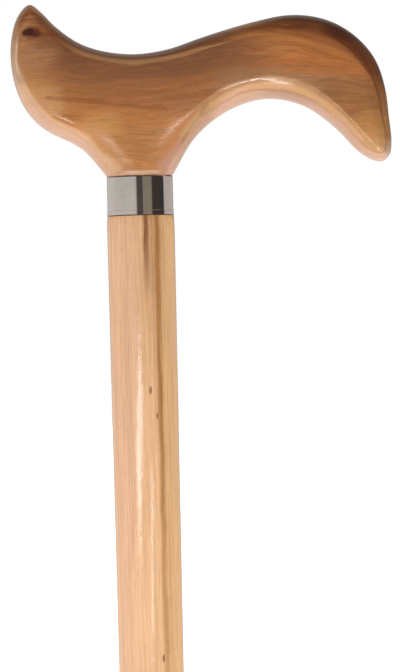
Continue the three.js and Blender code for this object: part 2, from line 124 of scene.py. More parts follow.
class Finish:
    """A tree of shader nodes, with the few things that every finish here is made of."""

    def __init__(self, tree):
        self.tree = tree
        tree.nodes.clear()

    def node(self, kind, settings=None, inputs=None, output=0):
        """Adds a node: its settings first, then the values or links of its sockets."""
        made = self.tree.nodes.new("ShaderNode" + kind)
        for name, value in (settings or {}).items():
            setattr(made, name, value)
        for name, value in (inputs or {}).items():
            if isinstance(value, Term):
                self.tree.links.new(value.socket, made.inputs[name])
            else:
                made.inputs[name].default_value = value
        return Term(self, made.outputs[output]) if made.outputs else made

    def axes(self, vector):
        split = self.node("SeparateXYZ", inputs={"Vector": vector}).socket.node
        return [Term(self, output) for output in split.outputs]

    def places(self, height):
        """X, Y and Z on the piece in millimetres, with Z counted from a height."""
        spot = self.node("TexCoord", output="Object")
        sizes = {"Location": (0, 0, -height / MM), "Scale": (1 / MM,) * 3}
        return self.axes(self.node("Mapping", inputs={"Vector": spot, **sizes}))

    def noise(self, x, y, z, detail=2, roughness=0.5):
        spot = self.node("CombineXYZ", inputs={"X": x, "Y": y, "Z": z})
        inputs = {"Vector": spot, "Scale": 1, "Detail": detail, "Roughness": roughness}
        return self.node("TexNoise", inputs=inputs)

    def rise(self, value, low, high):
        """0 below low, 1 above high, smooth between them."""
        inputs = {"Value": value, "From Min": low, "From Max": high}
        return self.node("MapRange", {"interpolation_type": "SMOOTHSTEP"}, inputs)

    def band(self, value, low, high, soft):
        """1 between low and high, 0 outside, with soft ends."""
        entered = self.rise(value, low - soft, low + soft)
        return entered * (1 - self.rise(value, high - soft, high + soft))

    def patch(self, x, z, centre, radii, soft=0.6):
        """1 in the middle of an ellipse seen from the side, 0 from its rim outwards."""
        across = (x - centre[0]) / radii[0]
        up = (z - centre[1]) / radii[1]
        return 1 - self.rise(across * across + up * up, 1 - soft, 1)

    def stroke(self, x, z, start, end, width):
        """1 on a line seen from the side, 0 half its width away."""
        run, climb = end[0] - start[0], end[1] - start[1]
        along = ((x - start[0]) * run + (z - start[1]) * climb) / (run * run + climb * climb)
        along = self.node("Clamp", inputs={"Value": along})
        off_x = x - start[0] - along * run
        off_z = z - start[1] - along * climb
        off = self.node("Math", {"operation": "SQRT"}, {0: off_x * off_x + off_z * off_z})
        return 1 - self.rise(off, width * 0.1, width * 0.5)

    def facing(self):
        """How the surface faces, from the direction kept on the mesh: how many degrees it turns
        from the handle's flat sides, and how far that turn goes along +X and up, each -1 to 1."""
        kept = self.node("Attribute", {"attribute_name": "facing"}, output="Vector")
        facing_x, facing_y, facing_z = self.axes(kept)
        turn = facing_y.math("ARCCOSINE", abs(facing_y)) * math.degrees(1)
        over_one = 1.003  # keeps the reach above nought
        reach = facing_y.math("SQRT", over_one - facing_y * facing_y)
        return turn, facing_x / reach, facing_z / reach

    def blend(self, share, first, second):
        """A colour between two colours."""
        colours = [c if isinstance(c, Term) else (*c, 1) for c in (first, second)]
        inputs = {0: share, 6: colours[0], 7: colours[1]}
        return self.node("Mix", {"data_type": "RGBA"}, inputs, output=2)

    def scaled(self, colour, factor):
        """A colour made lighter or darker by a factor."""
        settings = {"operation": "SCALE"}
        return self.node("VectorMath", settings, {"Vector": colour, "Scale": factor})

    def varied(self, colour, pattern, contrast):
        """A colour made lighter and darker by a pattern of values from 0 to 1."""
        return self.scaled(colour, 1 + pattern.swing(contrast))

    def crisp(self, pattern):
        """A pattern with more of its darkest and its lightest."""
        return self.rise(pattern, 0.3, 0.7)

    def bump(self, height, distance):
        return self.node("Bump", inputs={"Height": height, "Distance": distance}, output="Normal")


def material(name, build):
    """A material whose shader takes the sockets that build gives."""
    made = bpy.data.materials.new(name)
    made.use_nodes = True
    finish = Finish(made.node_tree)
    shader = finish.node("BsdfPrincipled", inputs=build(finish), output="BSDF")
    finish.node("OutputMaterial", inputs={"Surface": shader})
    return made


# Tones of the handle's wood, and of the light, shade and highlights painted on it
ORANGE = (0.50, 0.195, 0.054)
BROWN = (0.38, 0.150, 0.058)
SMOKY_AND_DIM_REFLECTION = (0.26, 0.105, 0.047)
NOSE_BROWN = (0.43, 0.195, 0.085)
AMBER = (0.52, 0.235, 0.068)
CHESTNUT = (0.075, 0.020, 0.009)
RUSSET = (0.22, 0.062, 0.020)
HEARTWOOD = (0.27, 0.083, 0.030)
GOLD = (0.49, 0.170, 0.051)
OLIVE = (0.40, 0.205, 0.098)
TAIL_BROWN = (0.36, 0.155, 0.058)
HONEY = (0.58, 0.275, 0.090)
TOFFEE = (0.60, 0.31, 0.135)
NECK_BROWN = (0.54, 0.235, 0.085)
TAWNY = (0.40, 0.20, 0.09)
DUSKY = (0.23, 0.093, 0.040)
# The pale tones below are partly paler wood and partly painted light: light from below on the
# undersides, sheen along the saddle and the nose's edge, and a highlight on the arch's crease. The
# belly's tone is painted light alone.
PALE_SAP_AND_SHEEN = (0.68, 0.37, 0.165)
PEACH_SAP_AND_UNDERLIGHT = (0.68, 0.375, 0.17)
PINK_SAP_AND_UNDERLIGHT = (0.70, 0.40, 0.25)
BELLY_PAINTED_LIGHT = (0.72, 0.43, 0.245)
NECK_SAP_AND_UNDERLIGHT = (0.54, 0.28, 0.185)
LILAC_SAP_AND_PAINTED_LIGHT = (0.66, 0.41, 0.31)
NOSE_SAP_AND_SHEEN = (0.56, 0.33, 0.19)
NOSE_MAUVE = (0.42, 0.235, 0.145)
YELLOW_SAP = (0.55, 0.33, 0.120)
# The tone of the painted highlights: the glints above the collar and the pale line up the nose.
PAINTED_GLINT = (0.90, 0.64, 0.44)
EDGE_BROWN = (0.20, 0.085, 0.040)
DARK_RED = (0.10, 0.022, 0.011)
KNOT = (0.045, 0.008, 0.005)

# Zones of the handle's face: the tone, its strength, and the middle and reach of its ellipse in
# millimetres along the handle and across its grain
HANDLE_ZONES = [
    (BROWN, 0.9, (10, 35), (54, 17)),
    # The smoky zone across the upper middle is partly the wood's tone and partly a painted
    # reflection of the dark that the lacquer mirrors there.
    (SMOKY_AND_DIM_REFLECTION, 1.0, (0, 40), (46, 11)),
    (NOSE_BROWN, 0.8, (-38, 45), (16, 20)),
    (AMBER, 0.8, (-38, 27), (14, 8)),
    (OLIVE, 0.9, (50, 30), (28, 8)),
    (TAIL_BROWN, 0.9, (71, 25), (16, 12)),
    (GOLD, 0.9, (62, 38), (22, 5)),
    (HONEY, 0.7, (78, 15), (10, 8)),
    (PALE_SAP_AND_SHEEN, 0.9, (79, 3), (11, 14)),
    (DUSKY, 0.6, (-27, 49), (10, 9)),
    (LILAC_SAP_AND_PAINTED_LIGHT, 0.6, (0, -1), (22, 4)),
    (DUSKY, 0.6, (-2, 45), (44, 5)),
    (HONEY, 0.8, (-13, 8), (12, 16)),
    (NECK_BROWN, 0.8, (2, 7), (13, 12)),
    (TOFFEE, 0.7, (-32, 23), (10, 7)),
]

# The ellipse round which the hump and the tail are heartwood: its middle and its reach
HEART_RING = (46, 8), (42, 36.5)

# Dark heartwood at the hump's upper right, under the edge: the strength, the middle and the reach
HEART_PARTS = [
    (0.5, (60, 49.5), (22, 5.5)),
    (0.8, (69, 46.0), (10, 4.6)),
    (0.5, (46, 47.4), (18, 1.6)),
]

# Single dark lines of the figure: the strength, the width and the two ends
HANDLE_FIGURE = [
    (0.5, 2.2, (-29.8, 26.4), (9.1, 21.8)),
    (0.7, 1.3, (-38.6, 53.2), (-33.0, 54.6)),
    (0.7, 1.2, (-39.0, 51.4), (-31.5, 52.6)),
    (0.6, 1.1, (-32.0, 51.0), (-27.0, 46.0)),
]

# Strokes under the handle's edge, seen from the side: the tone, the strength, the width, the ends
BAND_FIGURE = [
    (YELLOW_SAP, 0.9, 6.0, (15.5, 13.0), (25.0, 24.5)),
    (EDGE_BROWN, 0.45, 1.8, (20.8, 20.2), (23.0, 22.2)),
    (EDGE_BROWN, 0.5, 1.6, (14.6, 10.4), (16.4, 13.4)),
    (EDGE_BROWN, 0.5, 1.2, (-40.0, 31.3), (-35.6, 21.5)),
    (YELLOW_SAP, 0.7, 5.0, (76.0, 9.0), (82.0, 4.0)),
]

# More degrees than the surface can turn from the flat side, for a tone that has no outer end
ALL_ROUND = 120

# Tones round the nose's outer edge: the tone, the strength, and from where to where with how soft
# an end, in degrees of turn from the flat side and in millimetres of height
NOSE_EDGE = [
    # The paler tones here are partly painted sheen along the nose's outer edge.
    (NOSE_SAP_AND_SHEEN, 0.85, (34, ALL_ROUND, 12), (35, 47, 4)),
    (BELLY_PAINTED_LIGHT, 0.85, (55, ALL_ROUND, 5), (18, 32, 4)),
    (NOSE_MAUVE, 0.65, (36, 70, 6), (31, 35, 2)),
]

# The knot in the nose: its halo, the tail beside it and its body
KNOT_PARTS = [
    (RUSSET, 0.7, (-34.2, 48.1), (4.6, 2.8)),
    (RUSSET, 0.6, (-29.8, 47.2), (4.4, 1.3)),
    (DARK_RED, 0.95, (-33.9, 47.7), (3.0, 1.9)),
    (KNOT, 0.95, (-35.6, 48.1), (2.4, 1.6)),
]

# Where the lacquer is a little duller, at both sides of the neck: the ends and the width
DULL_STROKES = [
    ((7, 13), (17, 21), 14),
    ((-13, 12), (-8, 5), 14),
]


def handle_points(finish):
    """What the handle's tones go by at each point: its place in millimetres, how it faces in
    degrees, and the patterns of the wood. The streaks, lines, fibres and pores follow the lie of
    the grain, which climbs from the neck to the hump and falls again over the tail."""
    x, y, z = finish.places(neck)
    turn, along, up = finish.facing()
    sway = finish.noise(x * 0.045, y * 0.06, z * 0.06, detail=1).swing(4)
    climb = 0.12 * x.math("MINIMUM", x.math("MAXIMUM", x, 5), 45)
    past = x.math("MAXIMUM", x - 45, 0)
    lie = z - climb + past * past * 0.015 * finish.rise(z, 30, 46) + sway + x * 0.03
    wander = finish.noise(x * 0.1, y * 0.05, z * 0.1)
    return SimpleNamespace(
        x=x,
        y=y,
        z=z,
        turn=turn,
        along=along,
        up=up,
        grain=lie + climb,
        streak=finish.noise(x * 0.045, y * 0.12, lie * 0.45, detail=5, roughness=0.6),
        line=finish.noise(x * 0.11, y * 0.6, lie * 2, detail=4, roughness=0.65),
        fibre=finish.noise(x * 0.4, y * 3, lie * 3.5),
        pore=finish.rise(finish.noise(x * 0.5, y * 3, lie * 5, detail=1), 0.64, 0.76),
        wander=wander,
        bend=turn + wander.swing(24),
        below=finish.rise(-up, 0.05, 0.4),
        above=finish.rise(up, 0.1, 0.5),
        front=finish.rise(-y, 0, 3),
    )


def face_zones(finish, at, colour):
    """The large zones of the flat sides, with ends that are torn by the grain."""
    ragged = at.grain + at.streak.swing(16) + at.line.swing(6)
    for tone, strength, middle, reach in HANDLE_ZONES:
        share = finish.patch(at.x, ragged, middle, reach, soft=0.7) * strength
        colour = finish.blend(share, colour, tone)
    return colour


def heartwood(finish, at, colour):
    """The darker wood of the hump and the tail, and the darkest wood under the hump's edge."""
    middle, reach = HEART_RING
    across, high = (at.x - middle[0]) / reach[0], (at.z - middle[1]) / reach[1]
    ring = across * across + high * high + at.streak.swing(0.4) + at.line.swing(0.2)
    share = finish.rise(ring, 0.94, 1.12) * finish.rise(at.x, 32, 60)
    colour = finish.blend(share * 0.85, colour, HEARTWOOD)
    torn = at.z + at.streak.swing(7) + at.line.swing(3)
    for strength, middle, reach in HEART_PARTS:
        share = finish.patch(at.x, torn, middle, reach, soft=1)
        colour = finish.blend(share * strength, colour, CHESTNUT)
    return colour


def dark_figure(finish, at, colour):
    """The single dark lines of the figure."""
    swayed = at.z + at.streak.swing(3)
    for strength, width, start, end in HANDLE_FIGURE:
        mark = finish.stroke(at.x, swayed, start, end, width)
        colour = finish.blend(mark * (at.line + 0.3) * strength, colour, RUSSET)
    return colour


def sapwood_and_underlight(finish, at, colour):
    """Paler tones under the edges, round the belly, up the neck and along the arch: partly pale
    sapwood, partly painted light from below, laid on more as the surface faces down.
    """
    edge_line = finish.noise(at.bend * 0.14, at.x * 0.04, at.z * 0.04, detail=5, roughness=0.65)
    patchy = finish.noise(at.bend * 0.05, at.x * 0.07, at.z * 0.07, detail=2)
    sap = finish.blend(finish.rise(patchy + at.bend * 0.006, 0.6, 1.0), PEACH_SAP_AND_UNDERLIGHT, PINK_SAP_AND_UNDERLIGHT)
    sap = finish.blend(finish.rise(at.x, 18, 33), NECK_SAP_AND_UNDERLIGHT, sap)
    sap = finish.blend(finish.rise(at.x, -5, 5), BELLY_PAINTED_LIGHT, sap)
    sap = finish.blend(finish.rise(at.bend, 46, 60) * 0.7, sap, LILAC_SAP_AND_PAINTED_LIGHT)
    sap = finish.blend(finish.band(at.x, 14, 25, 3) * 0.5, sap, TAWNY)
    sap = finish.varied(sap, edge_line, 0.44)
    swayed = at.z + at.wander.swing(4)
    near_crease = 1 - finish.rise(at.bend, 44, 66)
    for tone, strength, width, start, end in BAND_FIGURE:
        mark = finish.stroke(at.x, swayed, start, end, width)
        sap = finish.blend(mark * (at.line + 0.4) * near_crease * strength, sap, tone)

    arch = finish.rise(at.x, 12, 24)
    foot = (1 - finish.rise(at.z, 3, 10)) * (1 - arch)
    plain = finish.rise(at.turn, 34 - foot * 16, 48 - foot * 8)
    arched = finish.rise(at.turn, 12, 18) * 0.45 + finish.rise(at.turn, 32, 40) * 0.55
    # Painted light from below: the share grows as the surface faces further down.
    share = (plain + arch * (arched - plain)) * at.below
    colour = finish.blend(share * 0.92, colour, sap)
    # Painted highlight: a pale line on the arch's crease, carrying the arch lamp's highlight
    # further to the left.
    painted_highlight = finish.band(at.turn, 12, 17, 2) * finish.band(at.x, 26, 34, 2) * at.below
    colour = finish.blend(painted_highlight * 0.5, colour, LILAC_SAP_AND_PAINTED_LIGHT)
    lines = finish.band(at.bend, 50, 54, 2.5) + finish.band(at.bend, 66, 68, 2) * 0.6
    lines = lines * at.below * at.wander * (0.15 + 0.45 * arch)
    return finish.blend(lines, colour, EDGE_BROWN)


def painted_saddle_sheen(finish, at, colour):
    """A painted reflection: the pale line along the saddle, where the lacquer mirrors a light
    overhead. It lies nearer to the flat side towards the hump.
    """
    length = finish.rise(at.x, -30, -20) * (1 - finish.rise(at.x, 22, 38))
    inward = finish.rise(at.x, 0, 30)
    line = finish.band(at.turn, 20 - inward * 10, 54 - inward * 39, 4 - inward * 2)
    return finish.blend(line * at.above * length * 0.46, colour, PALE_SAP_AND_SHEEN)


def nose_edge(finish, at, colour):
    """Paler tones round the nose's outer edge, partly paler wood and partly painted sheen, and the
    pale line that climbs it, a painted highlight.
    """
    outer = finish.rise(-at.along, 0.7, 0.9)
    for tone, strength, turns, heights in NOSE_EDGE:
        share = finish.band(at.turn, *turns) * finish.band(at.z, *heights)
        colour = finish.blend(share * outer * strength, colour, tone)
    # A painted highlight: the pale line that climbs the nose's outer crease.
    higher = finish.rise(at.z, 36, 44)
    line = finish.band(at.turn, 50 - higher * 16, 62 - higher * 8, 4)
    return finish.blend(line * finish.band(at.z, 35, 46, 3) * outer * 0.45, colour, PAINTED_GLINT)


def upper_edge(finish, at, colour):
    """The dark lines along the top edge, on the nose and on the hump."""
    line = finish.band(at.turn, 6, 62, 5) * (1 - finish.rise(at.x, -26, -14)) * 0.5
    line += finish.band(at.turn, 20, 48, 7) * finish.rise(at.x, 10, 26) * 0.4
    return finish.blend(line * at.above, colour, RUSSET)


def painted_tail_shade(finish, at, colour):
    """Painted shade and dark reflection along the outer edge, from the hump down to the tip of the
    tail, on the side turned away from the light.
    """
    lower = 1 - finish.rise(at.z, 22, 38)
    lowest = 1 - finish.rise(at.z, 12, 22)
    outer = finish.rise(at.along + at.up * 0.3, 0.5, 0.8) * finish.rise(at.x, 55, 66)
    colour = finish.blend(finish.rise(at.turn, 5, 16) * outer * 0.14, colour, CHESTNUT)
    rim = finish.rise(at.turn, 60, 70) * finish.band(at.z, 2, 24, 4)
    colour = finish.blend(rim * outer * 0.4, colour, EDGE_BROWN)
    crease = finish.band(at.turn, 10 + lower * 32 + lowest * 8, 50 + lowest * 12, 5)
    strength = 0.6 - lower * 0.1 - lowest * 0.1
    colour = finish.blend(crease * outer * strength, colour, CHESTNUT)
    shade = finish.rise(at.turn, 46, 56) * finish.rise(at.x, 30, 56) * finish.rise(at.z, 18, 34)
    return finish.blend(shade * 0.6, colour, CHESTNUT)


def fibres(finish, at, colour):
    """Streaks, lines and fibres, stronger on the flat sides than on the edges, and pores."""
    flat = 1 - finish.rise(at.turn, 15, 28)
    colour = finish.varied(colour, finish.crisp(at.streak), 0.06 + 0.17 * flat)
    colour = finish.varied(colour, finish.crisp(at.line), 0.06 + 0.22 * flat)
    colour = finish.varied(colour, at.fibre, 0.32)
    return finish.blend(at.pore * 0.3, colour, CHESTNUT)


def painted_foot_glints(finish, at, colour):
    """Painted highlights: broken pale glints just above the collar."""
    share = finish.band(at.z, 0.5, 1.5, 0.5) * finish.band(at.x, -5, 7, 2) * at.front
    return finish.blend(share * (0.2 + at.line * 0.8), colour, PAINTED_GLINT)


def knot(finish, at, colour):
    """The knot in the nose, with a ragged rim."""
    x, y, z = at.x, at.y, at.z
    shape_x = finish.noise(x * 0.7, y * 0.7, z * 0.9, detail=3).swing(2)
    shape_z = finish.noise(x * 0.6, y * 0.6, z * 0.8 + 9, detail=3).swing(2)
    for tone, strength, middle, reach in KNOT_PARTS:
        share = finish.patch(x + shape_x, z + shape_z, middle, reach, soft=0.8) * at.front
        colour = finish.blend(share * strength, colour, tone)
    return colour


# What is laid over the handle's plain tone, in this order
HANDLE_LAYERS = [
    face_zones,
    heartwood,
    dark_figure,
    sapwood_and_underlight,
    painted_saddle_sheen,
    nose_edge,
    upper_edge,
    painted_tail_shade,
    fibres,
    painted_foot_glints,
    knot,
]


def handle_wood(finish):
    at = handle_points(finish)
    colour = ORANGE
    for layer in HANDLE_LAYERS:
        colour = layer(finish, at, colour)
    dull = sum(finish.stroke(at.x, at.z, *stroke) for stroke in DULL_STROKES)
    calm = 1 - finish.band(at.x, 20, 44, 4) * 0.8
    relief = (at.line * 0.5 + at.fibre * 0.2 + at.streak * 0.5) * calm - at.pore * 0.3
    return {
        "Base Color": colour,
        "Roughness": 0.08 + at.fibre * 0.08 + dull * 0.16,
        "Normal": finish.bump(relief, 0.1 * MM),
    }


# Tones of the shaft's wood
ROSY = (0.92, 0.55, 0.335)
PEACH = (0.93, 0.56, 0.31)
STRAW = (0.84, 0.50, 0.245)
OCHRE = (0.44, 0.195, 0.062)
UMBER = (0.20, 0.048, 0.012)

# Streaks down the shaft's front: the tone, the strength, how much of it the lines break, from
# where to where across with how soft an end, and the heights from its shoulder where it fades in
SHAFT_STREAKS = [
    (OCHRE, 0.35, 0, (0.6, 6.4, 1.2), (-60, -8)),
    (OCHRE, 0.85, 0, (4.5, 6.1, 0.6), (-230, -60)),
    (UMBER, 0.95, 0.45, (0.9, 2.5, 0.6), (-34, -4)),
    (UMBER, 0.38, 0, (3.5, 3.7, 0.25), (-90, -40)),
]

# Small dark marks in the shaft: middle and reach, in millimetres across and down from its shoulder
SHAFT_MARKS = [
    ((2.2, -58), (0.5, 1.7)),
    ((4.3, -66.5), (0.4, 1.2)),
    ((4.2, -147), (0.4, 1.6)),
]


def shaft_wood(finish):
    x, y, z = finish.places(shoulder)
    sway = finish.noise(x * 0.02, y * 0.02, z * 0.012, detail=1).swing(3)
    wander = finish.noise(x * 0.1, y * 0.1, z * 0.09, detail=3).swing(1)
    across = x + sway
    streak = finish.noise(across * 0.35, y * 0.35, z * 0.006, detail=3, roughness=0.6)
    line = finish.noise(across * 2.6, y * 2.6, z * 0.04, detail=4, roughness=0.65)
    fibre = finish.noise(across * 7, y * 7, z * 0.3)
    pore = finish.rise(finish.noise(across * 5, y * 5, z * 0.3, detail=1), 0.66, 0.76)
    mottle = finish.noise(across * 0.8, y * 0.8, z * 0.25, detail=4, roughness=0.7)
    front = finish.rise(-y, 0, 3)
    ragged = x + wander * 1.4 + line.swing(1.2)

    colour = finish.blend(finish.rise(x, -6, 0), ROSY, PEACH)
    colour = finish.blend(finish.rise(x, 3, 7), colour, STRAW)
    for tone, strength, broken, sides, heights in SHAFT_STREAKS:
        share = finish.band(ragged, *sides) * finish.rise(z, *heights) * front * strength
        if broken:
            share *= 1 - broken + broken * finish.rise(line, 0.35, 0.6)
        colour = finish.blend(share, colour, tone)
    for middle, reach in SHAFT_MARKS:
        colour = finish.blend(finish.patch(ragged, z, middle, reach) * front * 0.7, colour, UMBER)
    colour = finish.varied(colour, finish.crisp(streak), 0.14)
    colour = finish.varied(colour, finish.crisp(line), 0.28)
    colour = finish.varied(colour, mottle, 0.14)
    colour = finish.varied(colour, fibre, 0.12)
    colour = finish.blend(pore * 0.3, colour, UMBER)
    colour = finish.scaled(colour, 1.08 - 0.16 * finish.rise(z, -130, -20))
    relief = line * 0.2 + fibre * 0.1 - pore * 0.1 + wander * 3 + mottle * 0.9
    return {
        "Base Color": colour,
        "Roughness": 0.06 + fibre * 0.08,
        "Normal": finish.bump(relief, 0.06 * MM),
    }


# Tones of the metals and the rubber
BRIGHT_METAL = (0.80, 0.77, 0.74)
SMEARED_METAL = (0.74, 0.71, 0.68)
JOINT_BROWN = (0.12, 0.06, 0.035)
DARK_PLATING = (0.50, 0.51, 0.52)
LIGHT_PLATING = (0.62, 0.62, 0.61)
BLACK_RUBBER = (0.018, 0.018, 0.019)
BLOOMED_RUBBER = (0.045, 0.044, 0.042)
SCUFFED_RUBBER = (0.10, 0.095, 0.088)


def polished_metal(finish):
    x, y, z = finish.places(collar_low.z)
    turning = finish.noise(x * 0.05, y * 0.05, z * 9, detail=3, roughness=0.7)
    smear = finish.noise(x * 0.2, y * 0.2, z * 0.4)
    in_joint = 1 - finish.rise(z + turning.swing(0.2), 0.15, 0.4)
    metal = finish.blend(smear, BRIGHT_METAL, SMEARED_METAL)
    return {
        "Base Color": finish.blend(in_joint * 0.85, metal, JOINT_BROWN),
        "Metallic": 1.0,
        "Roughness": 0.05 + turning * 0.05 + smear * 0.04,
        "Normal": finish.bump(turning, 0.002 * MM),
    }


def plated_steel(finish):
    x, y, z = finish.places(0)
    cloud = finish.noise(x * 0.3, y * 0.3, z * 0.3, detail=3)
    scratch = finish.noise(x * 6, y * 6, z * 0.6, detail=3, roughness=0.7)
    return {
        "Base Color": finish.blend(cloud, DARK_PLATING, LIGHT_PLATING),
        "Metallic": 1.0,
        "Roughness": 0.28 + cloud * 0.2,
        "Normal": finish.bump(scratch, 0.01 * MM),
    }


def black_rubber(finish):
    x, y, z = finish.places(0)
    grain = finish.noise(x * 3, y * 3, z * 3, detail=4, roughness=0.7)
    bloom = finish.noise(x * 0.15, y * 0.15, z * 0.15, detail=3)
    rubber = finish.blend(finish.rise(bloom, 0.4, 0.8), BLACK_RUBBER, BLOOMED_RUBBER)
    scuffed = finish.rise(grain, 0.5, 0.7) * (1 - finish.rise(z, 1, 7))
    return {
        "Base Color": finish.blend(scuffed * 0.5, rubber, SCUFFED_RUBBER),
        "Roughness": 0.55 + grain * 0.25,
        "Normal": finish.bump(grain, 0.04 * MM),
    }


# Forms

ROUND_EDGES = {"affect": "EDGES", "profile": 0.5, "material": -1, "clamp_overlap": True}


def lathe(profile, steps=144):
    """A body of revolution about Z from a profile of (radius, height) points. The profile is
    closed, or it starts and ends on the axis."""
    form = bmesh.new()
    spots = [form.verts.new((radius, 0, height)) for radius, height in profile]
    for pair in zip(spots, spots[1:]):
        form.edges.new(pair)
    geometry = [*form.verts, *form.edges]
    turn = {"axis": (0, 0, 1), "cent": (0, 0, 0), "angle": math.tau, "steps": steps}
    bmesh.ops.spin(form, geom=geometry, use_merge=True, **turn)
    bmesh.ops.remove_doubles(form, verts=form.verts, dist=WELD)
    bmesh.ops.recalc_face_normals(form, faces=form.faces)
    return form


def rounded(form, radius, sharper_than=30, segments=3):
    """Rounds the edges that turn by more than an angle in degrees."""
    limit = math.radians(sharper_than)
    edges = [edge for edge in form.edges if edge.is_manifold and edge.calc_face_angle() > limit]
    bmesh.ops.bevel(form, geom=edges, offset=radius, segments=segments, **ROUND_EDGES)
    return form


def arc(centre, radii, start, end, steps):
    """Profile points on an elliptic arc between two angles in degrees."""
    points = []
    for step in range(steps + 1):
        angle = math.radians(start + (end - start) * step / steps)
        radius = centre[0] + radii[0] * math.cos(angle)
        points.append((radius, centre[1] + radii[1] * math.sin(angle)))
    return points


def finished(form, name, finish, body, sharp=32):
    """Makes a form the piece that stands for the CAD node of the same name."""
    mesh = bpy.data.meshes.new(name)
    form.to_mesh(mesh)
    form.free()
    mesh.shade_smooth()
    mesh.set_sharp_from_angle(angle=math.radians(sharp))
    piece = bpy.data.objects.new(name + "_finished", mesh)
    bpy.context.scene.collection.objects.link(piece)
    mesh.materials.append(finish)
    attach(piece, body)
    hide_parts(name)
    return piece


def neck_ring(form):
    """Levels the foot of the handle's neck and gives the edges round it."""
    ring_radius = 10.9 * MM
    level_within, weld = 0.02 * MM, 0.1 * MM
    sharper_than = math.radians(30)

    def on_ring(vertex, within):
        return abs(vertex.co.z - neck) < within and vertex.co.xy.length > ring_radius

    foot = [vertex for vertex in form.verts if on_ring(vertex, level_within)]
    for vertex in foot:
        vertex.co.z = neck
    bmesh.ops.remove_doubles(form, verts=foot, dist=weld)
    ring = [edge for edge in form.edges if all(on_ring(end, WELD) for end in edge.verts)]
    return [edge for edge in ring if edge.calc_face_angle() > sharper_than]


def add_unevenness(form):
    """Lowers the surface here and there, as carving by hand does, but not at the neck's foot."""
    depth, coarse, fine, fade_length = 0.05 * MM, 7 * MM, 3.5 * MM, 4 * MM
    form.normal_update()
    for vertex in form.verts:
        unevenness = noise.noise(vertex.co / coarse) + 0.5 * noise.noise(vertex.co / fine)
        share = min(max((vertex.co.z - neck) / fade_length, 0), 1)
        vertex.co -= vertex.normal * share * depth * (1 + unevenness)


def make_handle(finish):
    """The carving: the fixed frame's facets joined to larger faces and subdivided, with its hard
    edges kept and its neck's foot rounded."""
    facet_weld, foot_round = 0.03 * MM, 0.14 * MM
    joined_below = {"angle_face_threshold": 50, "angle_shape_threshold": 60}
    hard_above = 40
    rows_above_foot = (1.0 * MM, 1.4 * MM)  # they keep the foot straight when it is subdivided

    form = bmesh.new()
    form.from_mesh(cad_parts["handle"].data)
    bmesh.ops.remove_doubles(form, verts=form.verts, dist=facet_weld)
    limits = {name: math.radians(angle) for name, angle in joined_below.items()}
    bmesh.ops.join_triangles(form, faces=form.faces, **limits)
    ring = neck_ring(form)
    bmesh.ops.bevel(form, geom=ring, offset=foot_round, segments=2, **ROUND_EDGES)
    for height in rows_above_foot:
        geometry = [*form.verts, *form.edges, *form.faces]
        plane = {"plane_co": (0, 0, neck + height), "plane_no": (0, 0, 1)}
        bmesh.ops.bisect_plane(form, geom=geometry, dist=WELD, **plane)
    crease = form.edges.layers.float.new("crease_edge")
    for edge in form.edges:
        if edge.calc_face_angle() > math.radians(hard_above):
            edge[crease] = 1.0
    add_unevenness(form)
    piece = finished(form, "handle", finish, "stick", sharp=hard_above)
    facing = piece.data.attributes.new("facing", "FLOAT_VECTOR", "POINT")
    for kept, vertex in zip(facing.data, piece.data.vertices):
        kept.vector = vertex.normal
    smooth = piece.modifiers.new("carving", "SUBSURF")
    smooth.levels = smooth.render_levels = 2
    return piece


def make_collar(finish):
    wall = 0.8 * MM
    rim_height = 1.7 * MM
    rim_stand = 0.1 * MM
    edge = 0.2 * MM
    outer = collar_high.x - rim_stand
    bore = outer - wall
    foot, head = collar_low.z, collar_high.z
    form = lathe(
        [
            (bore, foot),
            (outer + rim_stand, foot),
            (outer + rim_stand, foot + 2 * edge),
            (outer + rim_stand, foot + rim_height - rim_stand),
            (outer, foot + rim_height),
            (outer, foot + rim_height + edge),
            (outer, head - 2 * edge),
            (outer, head),
            (bore, head),
            (bore, foot),
        ]
    )
    rounded(form, edge, sharper_than=60)
    return finished(form, "collar", finish, "stick")


def make_shaft(finish):
    spigot_radius, bore_radius = 10.05 * MM, 4.2 * MM
    shoulder_stand, swell_length = 0.1 * MM, 6 * MM
    shoulder_radius = COLLAR_DIAMETER / 2 + shoulder_stand
    foot_chamfer, spigot_chamfer, countersink = 1 * MM, 0.5 * MM, 0.6 * MM
    room_below_stud = 1 * MM
    bore_foot = stud_low.z - room_below_stud
    foot, head = shaft_low.z, shaft_high.z
    swell_foot = shoulder - swell_length

    stations = 60
    taper = []
    for step in range(stations + 1):
        height = foot + foot_chamfer + (swell_foot - foot - foot_chamfer) * step / stations
        taper.append((shaft_radius(height), height))
    swell = (shaft_radius(swell_foot) - shoulder_radius, swell_length)
    form = lathe(
        [
            (0, foot),
            (SHAFT_FOOT_RADIUS - foot_chamfer, foot),
            *taper,
            *arc((shoulder_radius, swell_foot), swell, 0, 90, 8)[1:],
            (spigot_radius, shoulder),
            (spigot_radius, head - spigot_chamfer),
            (spigot_radius - spigot_chamfer, head),
            (bore_radius + countersink, head),
            (bore_radius, head - countersink),
            (bore_radius, bore_foot),
            (0, bore_foot),
        ]
    )
    return finished(form, "shaft", finish, "stick")


